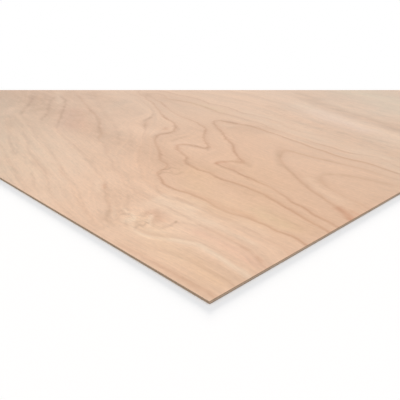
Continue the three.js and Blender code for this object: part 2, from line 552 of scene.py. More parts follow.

# %% [markdown]
# ## The corner and the right-hand side
# Along the near edges the rings run out at a slant, so the lines are narrow and straight. A cream
# streak, with a darker line along its upper side, is painted sheen: the fibres beside that ring
# line catch the light.

# %% Strokes by the corner and on the right
RIGHT_SIDE = [
    ("brown", 0.24, (20, 24), [(600, 105), (626, 180), (634, 250), (648, 300), (664, 350),
                               (704, 440)]),
    ("cream", 0.11, 12, [(568, 90), (580, 150), (588, 220), (604, 300), (630, 380)]),
    ("cream", 0.14, 11, [(636, 160), (652, 220), (664, 270), (690, 350)]),
    ("grey", 0.17, (5, 7), [(503, 200), (508, 250), (516, 300)]),
    ("brown", 0.12, 6, [(562, 350), (566, 400)]),
    ("straw", 0.24, 10, [(468, 430), (474, 480), (472, 530)]),
    ("grey", 0.15, 16, [(348, 618), (382, 632)]),
]
CORNER = [
    ("rust", 0.12, 4, [(9, -20), (8, 40), (7, 105), (5, 150)]),
    ("brown", 0.05, 5, [(8, -20), (9, 40), (7, 105), (5, 150)]),
    ("brown", 0.13, 9, [(48, -10), (48, 50), (49, 95)]),
    ("umber", 0.12, (1.6, 2.4), [(25, 110), (34, 85), (37, 40), (36, -6)]),
    ("rose", 0.30, 9, [(87, 120), (86, 60), (80, -8)]),
    # Painted sheen: these two cream strokes lie beside a ring line, where its fibres catch the light.
    ("cream", 0.26, (2.2, 4), [(46, 176), (41, 163), (38, 150), (39, 138), (45, 126), (54, 112),
                               (62, 99)]),
    ("cream", 0.46, (3.6, 6), [(52, 117), (60, 102), (66, 88), (68, 76), (67, 62), (65, 46), (62, 30),
                               (60, 12), (57, -16)]),
    ("umber", 0.11, 1.8, [(54, 122), (63, 107), (69, 95), (72, 82), (72, 70), (70, 58), (68, 43)]),
    ("rust", 0.16, 3, [(95, 39), (96, 47)]),
    ("rust", 0.16, 3, [(91, 13), (93, 22)]),
    ("cream", 0.20, 4, [(111, 35), (112, 80), (114, 130)]),
    ("umber", 0.07, 2.5, [(121, 25), (122, 55), (126, 90)]),
    ("straw", 0.24, 12, [(168, 35), (176, 75), (186, 105)]),
    ("umber", 0.09, 3, [(182, 30), (183, 60), (188, 95)]),
    ("rust", 0.15, 5, [(159, 75), (160, 95), (157, 130), (159, 165), (156, 210)]),
    ("rust", 0.40, (7, 6), [(236, -12), (244, 6), (252, 20), (260, 36)]),
    ("rust", 0.20, 4, [(256, -2), (260, 12)]),
    ("brown", 0.16, 4, [(246, 14), (262, 45), (276, 80), (292, 112), (318, 160), (330, 178)]),
]
print(len(RIGHT_SIDE), "strokes on the right,", len(CORNER), "by the corner")

# %% [markdown]
# ## Along the loops
# A ring line isn't as dark all the way round. It gathers colour in the bends, where the knife cut
# it at a flat angle, and loses it on the straights. These strokes lie on the ring lines or run
# beside them.

# %% Strokes along the loops
LOOPS = [
    ("brown", 0.26, 5, [(318, 168), (338, 190), (357, 205), (376, 222)]),
    ("cream", 0.12, 8, [(310, 122), (299, 98), (288, 75), (279, 53), (267, 26)]),
    ("rust", 0.22, 5, [(238, -16), (244, 0), (249, 14)]),
    ("brown", 0.08, (7, 6), [(384, 215), (385, 170), (390, 130), (396, 95), (396, 50)]),
    ("umber", 0.09, 5, [(387, 140), (389, 130)]),
    ("brown", 0.15, 8, [(300, 76), (316, 98), (334, 107), (350, 97)]),
    ("brown", 0.16, 6, [(352, 92), (362, 75), (368, 45), (372, 15)]),
    ("rust", 0.16, 7, [(264, 200), (266, 232)]),
    ("umber", 0.19, 2.6, [(258, 246), (256, 229), (254, 214), (253, 198), (250, 180), (245, 160)]),
    ("brown", 0.05, (6, 5), [(304, 236), (293, 222), (287, 206)]),
    ("rust", 0.38, 4.5, [(255, 243), (264, 244), (278, 237)]),
    ("umber", 0.14, 5, [(310, 252), (326, 272), (346, 296)]),
    ("umber", 0.15, 6, [(424, 392), (430, 375), (434, 355)]),
    ("umber", 0.15, 5, [(438, 342), (440, 320)]),
    ("umber", 0.14, 3, [(404, 396), (401, 390), (387, 372), (374, 348), (362, 328)]),
    ("umber", 0.15, 3, [(410, 399), (423, 393), (427, 380), (431, 367)]),
    ("umber", 0.12, 3, [(471, 489), (463, 460), (458, 436), (460, 412), (462, 379), (460, 345)]),
    ("brown", 0.12, 6, [(392, 470), (384, 433), (373, 392)]),
    ("brown", 0.12, 7, [(352, 195), (370, 208)]),
    ("umber", 0.12, 4, [(290, 214), (285, 202)]),
    ("umber", 0.09, 8, [(352, 405), (352, 385), (351, 366)]),
    ("umber", 0.08, 5, [(356, 369), (332, 345)]),
    ("umber", 0.11, 3, [(407, 397), (414, 385)]),
    ("umber", 0.12, 3, [(422, 380), (429, 369), (433, 356)]),
    ("umber", 0.10, 3, [(436, 338), (439, 324)]),
    ("umber", 0.10, 3, [(428, 252), (427, 214)]),
    ("umber", 0.14, 3, [(246, 292), (232, 281), (224, 266)]),
    ("cream", 0.17, 7, [(408, 372), (412, 358)]),
    ("umber", 0.16, 3, [(302, 304), (291, 295)]),
    ("brown", 0.27, 6, [(286, 336), (291, 318), (299, 298)]),
    ("rust", 0.26, (4, 5), [(256, 328), (266, 343), (276, 348), (288, 336)]),
    ("brown", 0.14, (8, 6), [(464, 410), (470, 470), (474, 520), (468, 585)]),
    ("umber", 0.24, 2, [(168, 270), (178, 275)]),
    ("umber", 0.26, 2, [(178, 283), (186, 279), (193, 277), (199, 284)]),
    ("umber", 0.20, 2, [(198, 276), (203, 264)]),
    ("umber", 0.16, 2, [(188, 262), (190, 270)]),
    ("umber", 0.24, (6, 5), [(268, 401), (284, 411), (296, 411), (308, 404)]),
    ("umber", 0.12, 3, [(304, 407), (312, 390)]),
    ("umber", 0.18, 4, [(312, 402), (332, 412), (339, 434)]),
    ("umber", 0.15, 4, [(438, 622), (447, 640), (457, 654)]),
    ("umber", 0.12, 4, [(417, 540), (423, 568)]),
    ("umber", 0.16, 5, [(276, 367), (294, 371), (314, 368)]),
    ("rust", 0.10, 5, [(294, 456), (306, 470), (322, 486)]),
    ("umber", 0.21, 5, [(322, 494), (340, 500)]),
    ("umber", 0.16, 2.5, [(333, 499), (348, 506), (362, 517)]),
    ("rust", 0.26, 5, [(314, 426), (321, 432)]),
    ("umber", 0.10, 3, [(284, 446), (300, 464), (320, 488)]),
    ("umber", 0.16, 2.5, [(172, 272), (183, 266), (186, 253), (200, 255)]),
]
print(len(LOOPS), "strokes along the loops")

# %% [markdown]
# ## The left-hand side
# Here the rings lean with the trunk and lie close together, and only some of them come out dark.

# %% Strokes on the far left
FAR_LEFT = [
    ("rose", 0.30, 28, [(208, 560), (258, 640)]),
    ("brown", 0.12, 24, [(216, 572), (240, 600)]),
    ("brown", 0.20, 28, [(225, 705), (262, 790)]),
    ("brown", 0.20, 20, [(202, 660), (262, 640), (254, 600)]),
    ("umber", 0.27, (3.2, 2.6), [(178, 566), (209, 605), (232, 636), (257, 669), (282, 703),
                                 (300, 738), (314, 795)]),
    ("umber", 0.21, 4, [(180, 620), (192, 640), (217, 663), (246, 707), (274, 747), (296, 768)]),
    ("umber", 0.19, 4, [(172, 688), (185, 705), (215, 737), (240, 768), (262, 797), (292, 842)]),
    ("umber", 0.10, 3, [(117, 625), (94, 576), (69, 515), (60, 485)]),
    ("umber", 0.08, 3, [(125, 585), (111, 545), (85, 493), (75, 464)]),
    ("umber", 0.08, 3, [(105, 572), (68, 496)]),
    ("cream", 0.16, 8, [(270, 706), (292, 744), (326, 810)]),
    ("brown", 0.18, (6, 5), [(203, 463), (222, 492), (240, 522)]),
    ("umber", 0.13, 3.2, [(222, 494), (240, 524), (252, 541), (268, 568), (284, 606), (298, 646)]),
    ("umber", 0.08, 3.2, [(254, 546), (274, 580)]),
    ("umber", 0.08, 4, [(328, 493), (316, 487), (304, 476), (290, 457)]),
    ("umber", 0.13, 4, [(274, 586), (301, 654), (328, 718), (338, 740)]),
    ("pale", 0.28, 10, [(162, 720), (184, 750)]),
    ("brown", 0.16, 9, [(120, 630), (154, 690)]),
    ("umber", 0.11, 2.6, [(185, 576), (169, 542), (154, 479), (134, 407), (114, 350), (95, 300)]),
    ("umber", 0.10, 4, [(378, 743), (332, 657), (285, 559), (264, 508), (234, 455), (204, 412)]),
    ("umber", 0.07, 4, [(276, 479), (244, 431), (212, 390)]),
    ("umber", 0.08, 3, [(171, 728), (144, 632), (106, 542), (84, 488), (71, 443), (53, 377)]),
    ("umber", 0.07, 3, [(175, 675), (147, 579), (125, 509), (101, 445), (88, 410), (77, 375)]),
    ("umber", 0.09, 2.5, [(77, 375), (64, 336), (56, 309), (39, 272), (20, 226)]),
    ("umber", 0.10, 3, [(50, 514), (42, 478), (30, 437), (18, 406), (15, 388)]),
    ("umber", 0.08, 3, [(101, 592), (75, 530), (58, 487)]),
    ("umber", 0.14, 2.5, [(42, 405), (30, 380), (18, 354)]),
    ("umber", 0.06, 2.5, [(46, 343), (36, 310), (26, 285), (20, 261)]),
    ("umber", 0.10, 2.5, [(79, 277), (63, 249), (52, 230), (39, 215), (28, 196)]),
    ("umber", 0.05, 2, [(49, 307), (33, 269), (17, 225)]),
    ("umber", 0.08, 2, [(51, 296), (30, 248), (15, 208)]),
    ("brown", 0.12, 12, [(150, 395), (154, 460)]),
    ("umber", 0.06, 3, [(72, 270), (86, 287), (98, 304)]),
    ("rust", 0.24, 3.2, [(86, 285), (91, 293)]),
    ("rust", 0.14, 3.5, [(66, 360), (75, 378), (84, 396)]),
    ("rust", 0.08, 6, [(55, 380), (66, 443)]),
    ("brown", 0.05, 5, [(57, 425), (72, 450)]),
    ("cream", 0.17, 4.5, [(68, 276), (80, 295), (93, 316)]),
    ("cream", 0.05, 6, [(182, 376), (192, 393), (204, 410)]),
]
print(len(FAR_LEFT), "strokes on the far left")

# %% [markdown]
# ## The pin knot
# A bud that never grew into a branch leaves a pin knot: a crack no longer than a fingernail, with a
# rust-coloured stain on one side of it and cream fibres that swirl round both. It is small enough to
# be painted stroke by stroke. To its left, and far off on the right, fine lines run side by side,
# and these a loop can draw.

# %% Strokes of the knot and the fine lines
PIN_KNOT = [
    ("cream", 0.22, 17, [(132, 140), (122, 190), (118, 215)]),
    ("rust", 0.21, 12, [(70, 152), (82, 168), (88, 190)]),
    ("umber", 0.13, (5, 6), [(78, 166), (83, 172), (84, 182)]),
    ("umber", 0.12, (4, 3), [(70, 180), (79, 186)]),
    ("umber", 0.10, 6, [(66, 158), (76, 168)]),
    ("cream", 0.28, (2.8, 2.4), [(60, 165), (68, 169), (79, 177)]),
    ("cream", 0.22, (2.8, 2.4), [(58, 155), (64, 164)]),
    ("cream", 0.40, 7, [(42, 181), (50, 184), (56, 180)]),
    ("umber", 0.16, 2.2, [(40, 176), (45, 184)]),
    ("umber", 0.26, (2.2, 2), [(40, 158), (44, 164), (49, 166), (51, 161), (58, 164), (61, 160)]),
    ("umber", 0.03, 2.4, [(42, 162), (41, 150), (43, 138), (49, 129), (60, 122)]),
    ("cream", 0.22, 3, [(37, 160), (37, 146), (40, 132)]),
    ("umber", 0.20, 2, [(55, 183), (58, 197), (50, 205)]),
    ("umber", 0.16, 1.8, [(60, 196), (64, 206), (66, 215)]),
    ("cream", 0.30, 3, [(58, 186), (61, 196)]),
    ("umber", 0.13, 2, [(55, 203), (58, 213)]),
    ("cream", 0.30, 2.6, [(61, 203), (64, 213)]),
    ("umber", 0.16, 2.4, [(66, 205), (67, 213)]),
    ("brown", 0.17, 11, [(22, 180), (34, 203), (50, 226)]),
    ("umber", 0.10, 3, [(68, 216), (80, 228), (92, 244)]),
    ("cream", 0.16, 3, [(36, 200), (48, 214), (60, 230)]),
    ("umber", 0.17, (3, 2.4), [(62, 141), (74, 139), (84, 142)]),
    ("umber", 0.40, 1.4, [(84, 141), (86, 143)]),
    ("umber", 0.16, 3, [(131, 160), (131, 180), (133, 196)]),
    ("umber", 0.12, 2.4, [(84, 142), (90, 133), (95, 126), (98, 114), (99, 100)]),
    ("umber", 0.12, 2.5, [(140, 247), (130, 228), (123, 208), (126, 187)]),
    ("cream", 0.15, 3, [(48, 152), (51, 144), (55, 137), (60, 129)]),
    ("umber", 0.11, 4, [(52, 173), (60, 168)]),
    ("umber", 0.09, 4, [(60, 151), (67, 142)]),
    ("umber", 0.08, 4, [(52, 215), (57, 212)]),
    ("brown", 0.08, 5, [(47, 114), (56, 98)]),
    ("cream", 0.09, 6, [(19, 184), (23, 197)]),
    ("cream", 0.12, 2.6, [(103, 151), (102, 135), (101, 120)]),
    ("umber", 0.09, 2.6, [(106, 178), (102, 166), (101, 155), (103, 145), (106, 137)]),
    ("umber", 0.10, (2.4, 2), [(104, 312), (80, 276), (64, 256), (58, 241), (52, 230), (43, 219),
                               (32, 207)]),
]
FINE_LINES = (
    [("umber", 0.12, 1.6, [(start, 60), (start + 6, 200), (start + 24, 310), (start + 48, 410)])
     for start in (487, 497, 504, 513, 519, 530)]
    + [("brown", 0.08, 1.6, [(start, 176 + start / 2), (start + 12, 206), (start + 27, 232)])
       for start in (12, 20, 25, 34, 39)]
    + [("brown", 0.07, 1.8, [(start, 190 + start / 2), (start + 14, 241), (start + 36, 272)])
       for start in (46, 57, 64, 77, 85, 99)]
)
STROKES = DRIFTS + RIGHT_SIDE + CORNER + LOOPS + FAR_LEFT + PIN_KNOT + FINE_LINES
print(len(STROKES), "strokes in all")

# %% [markdown]
# ## The colour of the face
# The wood is warm inside the first rings and paler outside. Away from the near corner a painted
# shade of grey-brown darkens it, where the light falls off, and far from it long brown bands lean as
# the log does. Slow noise keeps all of it alive. Then come the strokes. A ruled stroke would look
# painted, so noise bends each path a little and makes the paint patchy.

# %% Colour of the face
# how unruly the fibres are there, then the middle and the size of the patch in mm, across and along
SWIRLS = [(1.0, (62, 186), (24, 30)), (0.6, (100, 255), (50, 50))]
FIBRE_LEAN = 130  # mm to the right, in all
LEANS_ALONG = (150, 900)  # mm from the corner
STRAIGHTENS_ACROSS = (300, 650)  # mm, from where the fibres lean less to where they run straight
WARM_SHARE = 0.22  # of warm wood in the pale
WARM_INSIDE, WARM_RINGS = 0.42, (3.2, 6.8)  # more of it inside these rings
ACROSS_COUNTS = 0.6  # a mm across takes one as far off as this many mm along
# painted shade away from the near corner: its share, and the mm off over which it comes in
PAINTED_SHADE_SHARE, PAINTED_SHADE_FROM = 0.25, (400, 1000)  # and the mm off over which it comes in
BAND_SHARE, BANDS_FROM = 0.28, (800, 1400)
STROKE_STRAY = 1.8  # mm
STROKE_PATCHINESS = 0.35


def unruly_grain(across, along):
    """How unruly the fibres are round the pin knot, from 0 to 1: the larger of two smooth patches,
    each exp(-d^2), where d is the distance from its middle over its size."""
    return np.max([much * np.exp(-((across - x) / wide) ** 2 - ((along - y) / long) ** 2)
                   for much, (x, y), (wide, long) in SWIRLS], axis=0)


def fibre_lean(across, along):
    """How far to the right the fibres have leant, in mm: they lean on the left-hand side, as the
    rings do there, by up to 0.26 mm for each mm along."""
    return FIBRE_LEAN * ease(*LEANS_ALONG, along) * (1 - ease(*STRAIGHTENS_ACROSS, across))


def face_colour(across, along, rings):
    """Pale wood, warm by the ring number and slow noise, darkened away from the near corner by painted
    shade, with long brown bands far from it that lean as the log does, and then each stroke, bent
    and made patchy by noise, laid over."""
    colour = np.broadcast_to(paint(WOODS["pale"]), (*across.shape, 4))
    slow = 0.1 * soft_noise(across, along, 60, 150, seed=24)
    slow = slow + 0.06 * soft_noise(across, along, 22, 60, seed=25)
    warmth = WARM_SHARE + WARM_INSIDE * (1 - ease(*WARM_RINGS, rings)) + slow
    colour = lay_over(colour, "warm", np.clip(warmth, 0, 1))
    off = along + ACROSS_COUNTS * across
    # Painted shade: the wood darkens away from the near corner, where the light falls off.
    colour = lay_over(colour, "painted_far_shade", PAINTED_SHADE_SHARE * ease(*PAINTED_SHADE_FROM, off))
    bands = ease(-0.1, 0.8, soft_noise(across - bulge(along), along, 110, 1100, seed=26))
    colour = lay_over(colour, "brown", BAND_SHARE * bands * ease(*BANDS_FROM, off))
    wavy = across + STROKE_STRAY * soft_noise(across, along, 8, 14, seed=28)
    patchy = 1 + STROKE_PATCHINESS * soft_noise(across, along, 7, 20, seed=27)
    for wood, strength, spread, path in STROKES:
        colour = lay_over(colour, wood, strength * patchy * coverage(wavy, along, spread, path))
    return colour


print("fibres lean by", round(float(fibre_lean(0, 900))), "mm at most")

# %% [markdown]
# ## Cutting a veneer as a mesh
# A veneer is a slab a millimetre or two thick and more than a metre wide. A cube scaled flat has
# its shape, but nowhere to keep the figure: a value stored on a mesh lives at its points. So the
# side that shows is a grid of points, closest where the figure is finest. The four sawn edges are
# walls of narrow faces with the saw's shallow marks in them, the arris is eased as sandpaper leaves
# it, and the hidden side is closed by a fan of triangles, because nothing there needs points.

# %% Grid and rim
def stops_along(*stretches):
    """Places from 0, in mm. Each stretch is (where it ends, how far apart its places are)."""
    places = [0.0]
    for end, step in stretches:
        count = max(1, round((end - places[-1]) / step))
        places += list(np.linspace(places[-1], end, count + 1)[1:])
    return np.array(places)


def edge_loop(columns, rows):
    """The grid's outer points in order, anticlockwise from above, and which side each step is on:
    0 for the sides that face -X and +X, 1 for those that face -Y and +Y."""
    numbers = np.arange(columns * rows).reshape(rows, columns)
    sides = [numbers[0, :-1], numbers[:-1, -1], numbers[-1, :0:-1], numbers[:0:-1, 0]]
    facing = np.concatenate([np.full(len(side), kind) for side, kind in zip(sides, (1, 0, 1, 0))])
    return np.concatenate(sides), facing


print("a grid of 3 by 3 points has the rim", edge_loop(3, 3)[0])

# %% [markdown]
# ### The slab itself
# Its materials follow from which way a face looks. The shown side has the first, the edges that face
# -X and +X the second, those that face -Y and +Y the third, and the fan the last.

# %% Slab
ARRIS = 0.12  # mm taken off the sharp edge by sanding
SAW_MARK = 0.05  # mm, the depth of the saw's marks
SAW_MARK_LENGTH = 9  # mm along the edge
SAW_MARK_HEIGHT = 1.5  # mm


def slab(name, box, across, along, shown, wall_steps, seed):
    """A closed slab in box: the grid across x along on its shown side ("top" or "bottom"), walls
    of wall_steps rows of faces, and a fan on the other side. Places are in mm from the near corner."""
    low, high = np.array(box[0]) / MM, np.array(box[1]) / MM
    grid_z, fan_z = (high[2], low[2]) if shown == "top" else (low[2], high[2])
    step_in = np.sign(fan_z - grid_z)
    gx, gy = np.meshgrid(low[0] + across, low[1] + along)
    flat = np.column_stack([gx.ravel(), gy.ravel(), np.full(gx.size, grid_z)])
    loop, facing = edge_loop(len(across), len(along))
    rim = flat[loop]
    run = rim[:, 0] + rim[:, 1]

    flat[:, 0] = np.clip(flat[:, 0], low[0] + ARRIS, high[0] - ARRIS)
    flat[:, 1] = np.clip(flat[:, 1], low[1] + ARRIS, high[1] - ARRIS)
    levels = np.linspace(grid_z + step_in * ARRIS, fan_z, wall_steps)
    walls = []
    for number, z in enumerate(levels):
        heights = np.full_like(run, z)
        marks = soft_noise(run, heights, SAW_MARK_LENGTH, SAW_MARK_HEIGHT, seed + number)
        depth = SAW_MARK * np.maximum(0, marks)
        walls.append(np.column_stack([np.clip(rim[:, 0], low[0] + depth, high[0] - depth),
                                      np.clip(rim[:, 1], low[1] + depth, high[1] - depth),
                                      np.full(len(rim), z)]))
    middle = [[(low[0] + high[0]) / 2, (low[1] + high[1]) / 2, fan_z]]
    corners = np.concatenate([flat, *walls, middle])

    numbers = np.arange(len(flat)).reshape(len(along), len(across))
    tiles = np.stack([numbers[:-1, :-1], numbers[:-1, 1:], numbers[1:, 1:], numbers[1:, :-1]], axis=-1)
    tiles = tiles.reshape(-1, 4)
    rims = [loop] + [len(flat) + step * len(loop) + np.arange(len(loop)) for step in range(wall_steps)]
    strips = [np.stack([upper, lower, np.roll(lower, -1), np.roll(upper, -1)], axis=-1)
              for upper, lower in zip(rims, rims[1:])]
    fan = np.stack([np.roll(rims[-1], -1), rims[-1], np.full(len(loop), len(corners) - 1)], axis=-1)
    quads = np.concatenate([tiles, *strips])
    finish = [np.zeros(len(tiles), int), *[1 + facing] * wall_steps, np.full(len(fan), 3)]
    if shown == "bottom":
        quads, fan = quads[:, ::-1], fan[:, ::-1]

    mesh = bpy.data.meshes.new(name)
    mesh.from_pydata(corners * MM, [], quads.tolist() + fan.tolist())
    mesh.polygons.foreach_set("material_index", np.concatenate(finish))
    mesh.update()
    piece = bpy.data.objects.new(name, mesh)
    bpy.context.collection.objects.link(piece)
    print(f"{name}: {len(corners)} points, {len(quads) * 2 + len(fan)} triangles")
    return piece


print("the arris takes", ARRIS, "mm of a veneer", round((FACE[1][2] - FACE[0][2]) / MM, 2), "mm thick")

# %% [markdown]
# ### The face veneer
# This is the side that is seen. The figure is finest near the corner, so the grid has a point every
# 2 mm there and opens up to 24 mm at the far end. The figure is worked out as one number per point,
# and the mesh keeps it as an attribute, which a material reads by its name. A picture wrapped round
# the slab could carry it too, but the points already lie where the detail is.
#
# A ring line strays by a set number of mm, which the map's steepness turns into ring numbers. By
# the corner, where the lines are given point by point, they stray less.

# %% Face veneer
WIDTH, LENGTH = (SHEET_HIGH[:2] - SHEET_LOW[:2]) / MM
STRAY_NEAR = 2.2  # mm, the most that a ring line strays by the corner
STRAY_FAR = 8.2  # mm, and further along
STRAY_GROWS = (120, 360)  # mm along


def store(piece, name, values):
    """Keeps one number per point of the shown grid on the mesh, where a material reads it by name.
    The grid's points come first; the rest of the slab gets 0."""
    kept = np.zeros(len(piece.data.vertices))
    kept[:values.size] = values.ravel()
    piece.data.attributes.new(name, "FLOAT", "POINT").data.foreach_set("value", kept)


def store_colour(piece, name, colours):
    """Keeps one linear colour per point of the shown grid on the mesh, as store keeps a number."""
    kept = np.ones((len(piece.data.vertices), 4))
    kept[:colours.size // 4] = colours.reshape(-1, 4)
    piece.data.attributes.new(name, "FLOAT_COLOR", "POINT").data.foreach_set("color", kept.ravel())


columns = stops_along((280, 2), (700, 4.5), (WIDTH, 16))
rows = stops_along((280, 2), (800, 4.5), (LENGTH, 24))
face = slab("rotary_cut_face", FACE, columns, rows, shown="top", wall_steps=3, seed=31)
across, along = np.meshgrid(columns, rows)
ring_number = face_rings(across, along)
slope = steepness(ring_number, columns, rows)
store(face, "ring", ring_number)
store(face, "steepness", slope)
stray = STRAY_NEAR + (STRAY_FAR - STRAY_NEAR) * ease(*STRAY_GROWS, along)
store(face, "waver", slope * stray)
store(face, "boldness", face_boldness(across, along, ring_number))
store(face, "unruly", unruly_grain(across, along))
store(face, "fibre_across", across - fibre_lean(across, along))
store_colour(face, "wood_colour", face_colour(across, along, ring_number))
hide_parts("face_veneer")
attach(face, "root")
print("rings cut:", round(float(ring_number.min()), 1), "to", round(float(ring_number.max()), 1))

# %% [markdown]
# ### The core and the back
# The core's grain runs across the sheet. Only its sawn edges show, so its grid is only as fine as
# the saw marks in the walls need. The back is peeled from the same log, a little further in and seen
# from its other side, and its figure is the bare formula with stronger wobbles.

# %% Core and back veneers
CORE_FINE = 400  # mm at either end of the long edges, where the mesh is fine enough for saw marks
BACK_FROM = 1400  # mm round the log, where the back's near edge lies
BACK_STRAY = 3.0  # mm, the most that its ring lines stray
BACK_PALE = "#dfba9c"
BACK_WARM = "#caa07e"

columns = stops_along((WIDTH, 4))
rows = stops_along((CORE_FINE, 4), (LENGTH - CORE_FINE, 40), (LENGTH, 4))
core = slab("cross_grain_core", CORE, columns, rows, shown="top", wall_steps=5, seed=41)
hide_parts("core_veneer")
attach(core, "root")

columns = stops_along((WIDTH, 8))
rows = stops_along((LENGTH, 12))
back = slab("rotary_cut_back", BACK, columns, rows, shown="bottom", wall_steps=3, seed=51)
across, along = np.meshgrid(columns, rows)
wobble = 0.6 * soft_noise(across, along, 110, 330, seed=61)
wobble = wobble + 0.2 * soft_noise(across, along, 34, 90, seed=62)
ring_number = peeled_log(BACK_FROM - across, LENGTH - along) + wobble
slope = steepness(ring_number, columns, rows)
store(back, "ring", ring_number)
store(back, "steepness", slope)
store(back, "waver", slope * BACK_STRAY)
store(back, "boldness", 0.4 + 0.3 * soft_noise(across, along, 60, 200, seed=63))
store(back, "fibre_across", across)
warmth = np.clip(0.6 + 0.25 * soft_noise(across, along, 90, 260, seed=64), 0, 1)[..., None]
pale, warm = np.array(paint(BACK_PALE)), np.array(paint(BACK_WARM))
store_colour(back, "wood_colour", pale * (1 - warmth) + warm * warmth)
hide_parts("back_veneer")
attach(back, "root")

# %% [markdown]
# ## The finish of the face
# Birch is pale, close-grained and faintly pink, and a sanded veneer is matt with a little silk to it.
# The slow drift of its colour is stored on the mesh. The material adds what is finer: first the ring
# lines, read from the number stored on the mesh, whose fraction says how far through the year's
# growth the knife was. Wood darkens slowly through summer and stops short at winter. So the shade
# rises over some millimetres before a line and falls off faster past it. A colour ramp over the
# fraction could do this, but its lines would be wide where the rings are far apart. Divided by the
# steepness the fraction becomes mm, and the lines keep their width.

# %% Ring lines
LINE_BEFORE = 5.8  # mm over which the wood darkens towards a line
LINE_AFTER = 3.4  # mm over which it pales again past it
LINE_DEPTH = 0.41  # share of late wood on a line whose boldness is 1
FRINGE_WIDTH = 15.0  # mm of fainter shade before a line
FRINGE_DEPTH = 0.22  # share of late wood that it adds right before the line
FRINGE_POWER = 1.5  # above 1 it gathers close to the line
FLATTEST = 0.008  # rings per mm, the least steepness, so that no line floods a flat stretch


def ring_lines(tree, where):
    """Share of late wood at each place, and the ring number with its waver."""
    ring, slope, reach, boldness = (add(tree, "Attribute", attribute_name=kept).outputs["Fac"]
                                    for kept in ("ring", "steepness", "waver", "boldness"))
    # The lines stray by up to the reach, in blobs 8 mm across and 18 mm along the grain.
    at = add(tree, "Mapping", {"Vector": where, "Scale": (1 / (8 * MM), 1 / (18 * MM), 1)})
    waver = add(tree, "TexNoise", {"Vector": at, "Scale": 1.0, "Detail": 4.0, "Roughness": 0.85})
    waver = add(tree, "MapRange", {0: waver, 3: -1.0, 4: 1.0})
    wavered = add(tree, "Math", {0: waver, 1: reach, 2: ring}, operation="MULTIPLY_ADD")

    # How many mm of wood lie between this place and the ring line ahead, and the one behind.
    year = add(tree, "Math", {0: wavered}, operation="FRACT")
    rest = add(tree, "Math", {0: 1.0, 1: year}, operation="SUBTRACT")
    pace = add(tree, "Math", {0: slope, 1: FLATTEST}, operation="MAXIMUM")
    to_line = add(tree, "Math", {0: rest, 1: pace}, operation="DIVIDE")
    past_line = add(tree, "Math", {0: year, 1: pace}, operation="DIVIDE")

    before = add(tree, "MapRange", {0: to_line, 2: LINE_BEFORE, 3: 1.0, 4: 0.0},
                 interpolation_type="SMOOTHSTEP")
    after = add(tree, "MapRange", {0: past_line, 2: LINE_AFTER, 3: 1.0, 4: 0.0})
    line = add(tree, "Math", {0: before, 1: after}, operation="MAXIMUM")
    fringe = add(tree, "MapRange", {0: to_line, 2: FRINGE_WIDTH, 3: 1.0, 4: 0.0})
    fringe = add(tree, "Math", {0: fringe, 1: FRINGE_POWER}, operation="POWER")
    fringe = add(tree, "Math", {0: fringe, 1: FRINGE_DEPTH}, operation="MULTIPLY")
    late = add(tree, "Math", {0: line, 1: LINE_DEPTH, 2: fringe}, operation="MULTIPLY_ADD")
    return add(tree, "Math", {0: late, 1: boldness}, operation="MULTIPLY"), wavered


print("a line of boldness 1 holds", LINE_DEPTH + FRINGE_DEPTH, "of late wood")

# %% [markdown]
# ### Streaks, fibres, mottle and pores
# Between the lines the wood is never one colour. Streaks run with the rings, because the wood that
# a log lays down in some weeks is darker than in others. Fibres run along the trunk, whatever the
# knife did, and here they lean on the left-hand side. The sander cuts a fibre in one place and bends
# it flat in the next, which mottles the wood. Pores are the vessels, cut open. All of these could
# come from one picture of wood, but noises that are each given their own size stay sharp from close
# by. Real fibres and pores of birch are a tenth of a millimetre wide or less, too fine to show, so
# here the fibres are drawn 2.4 mm wide and the pores 0.6 mm.

# %% Streaks, fibres, mottle and pores
# name, whether it is read over the rings, the fibres or the sheet, width, length, detail, roughness
NOISES = [
    ("streak", "rings", 5 / 9, 260 * MM, 5, 0.9),
    ("grain", "fibres", 4, 200 * MM, 3, 0.6),
    ("fibre", "fibres", 2.4, 80 * MM, 4, 0.5),
    ("mottle", "fibres", 4, 9 * MM, 3, 0.7),
    ("pore", "sheet", 0.6 * MM, 5 * MM, 2, 0.5),
]


def wood_noises(tree, where, wavered):
    """The noises by name. Lengths are in metres along the sheet. Widths are in rings over the rings,
    in mm over the fibres, which lean, and in metres over the sheet."""
    along = add(tree, "SeparateXYZ", {0: where}).outputs[1]
    leant = add(tree, "Attribute", attribute_name="fibre_across").outputs["Fac"]
    places = {"rings": add(tree, "CombineXYZ", {0: wavered, 1: along}),
              "fibres": add(tree, "CombineXYZ", {0: leant, 1: along}),
              "sheet": where}
    noises = {}
    for name, over, wide, long, detail, roughness in NOISES:
        at = add(tree, "Mapping", {"Vector": places[over], "Scale": (1 / wide, 1 / long, 1)})
        noises[name] = add(tree, "TexNoise", {"Vector": at, "Scale": 1.0, "Detail": detail,
                                              "Roughness": roughness})
    return noises


print(len(NOISES), "noises:", [noise[0] for noise in NOISES])

# %% [markdown]
# ### How much they shade the wood
# Each noise makes the wood a few hundredths darker or paler, and the shades are multiplied, as thin
# glazes over one another. They could be mixed in as colours, but then the wood's own colour would
# sink under them. Round the knot, where the fibres swirl, flecks are added.

# %% Shade
NOISE_LOW = 0.3  # nearly all of the noise lies between these two
NOISE_HIGH = 0.7
SHADE_DEPTHS = {"grain": 0.015, "fibre": 0.038, "mottle": 0.045}  # share of shade either way
STREAK_LOW, STREAK_HIGH = 0.35, 0.65  # the noise is cut off here, so that the streaks stand out
STREAK_DEPTHS = (0.042, 0.075)  # inside the quiet rings, and outside them
QUIET_RINGS = (3.0, 5.0)
MIDDLE_SHADE = 0.99  # the streaks darken the stored colour by a hair on the whole
FLECK_DEPTH = 0.09
FLECK_TURN = 0.6  # radians, so that the flecks run at a slant


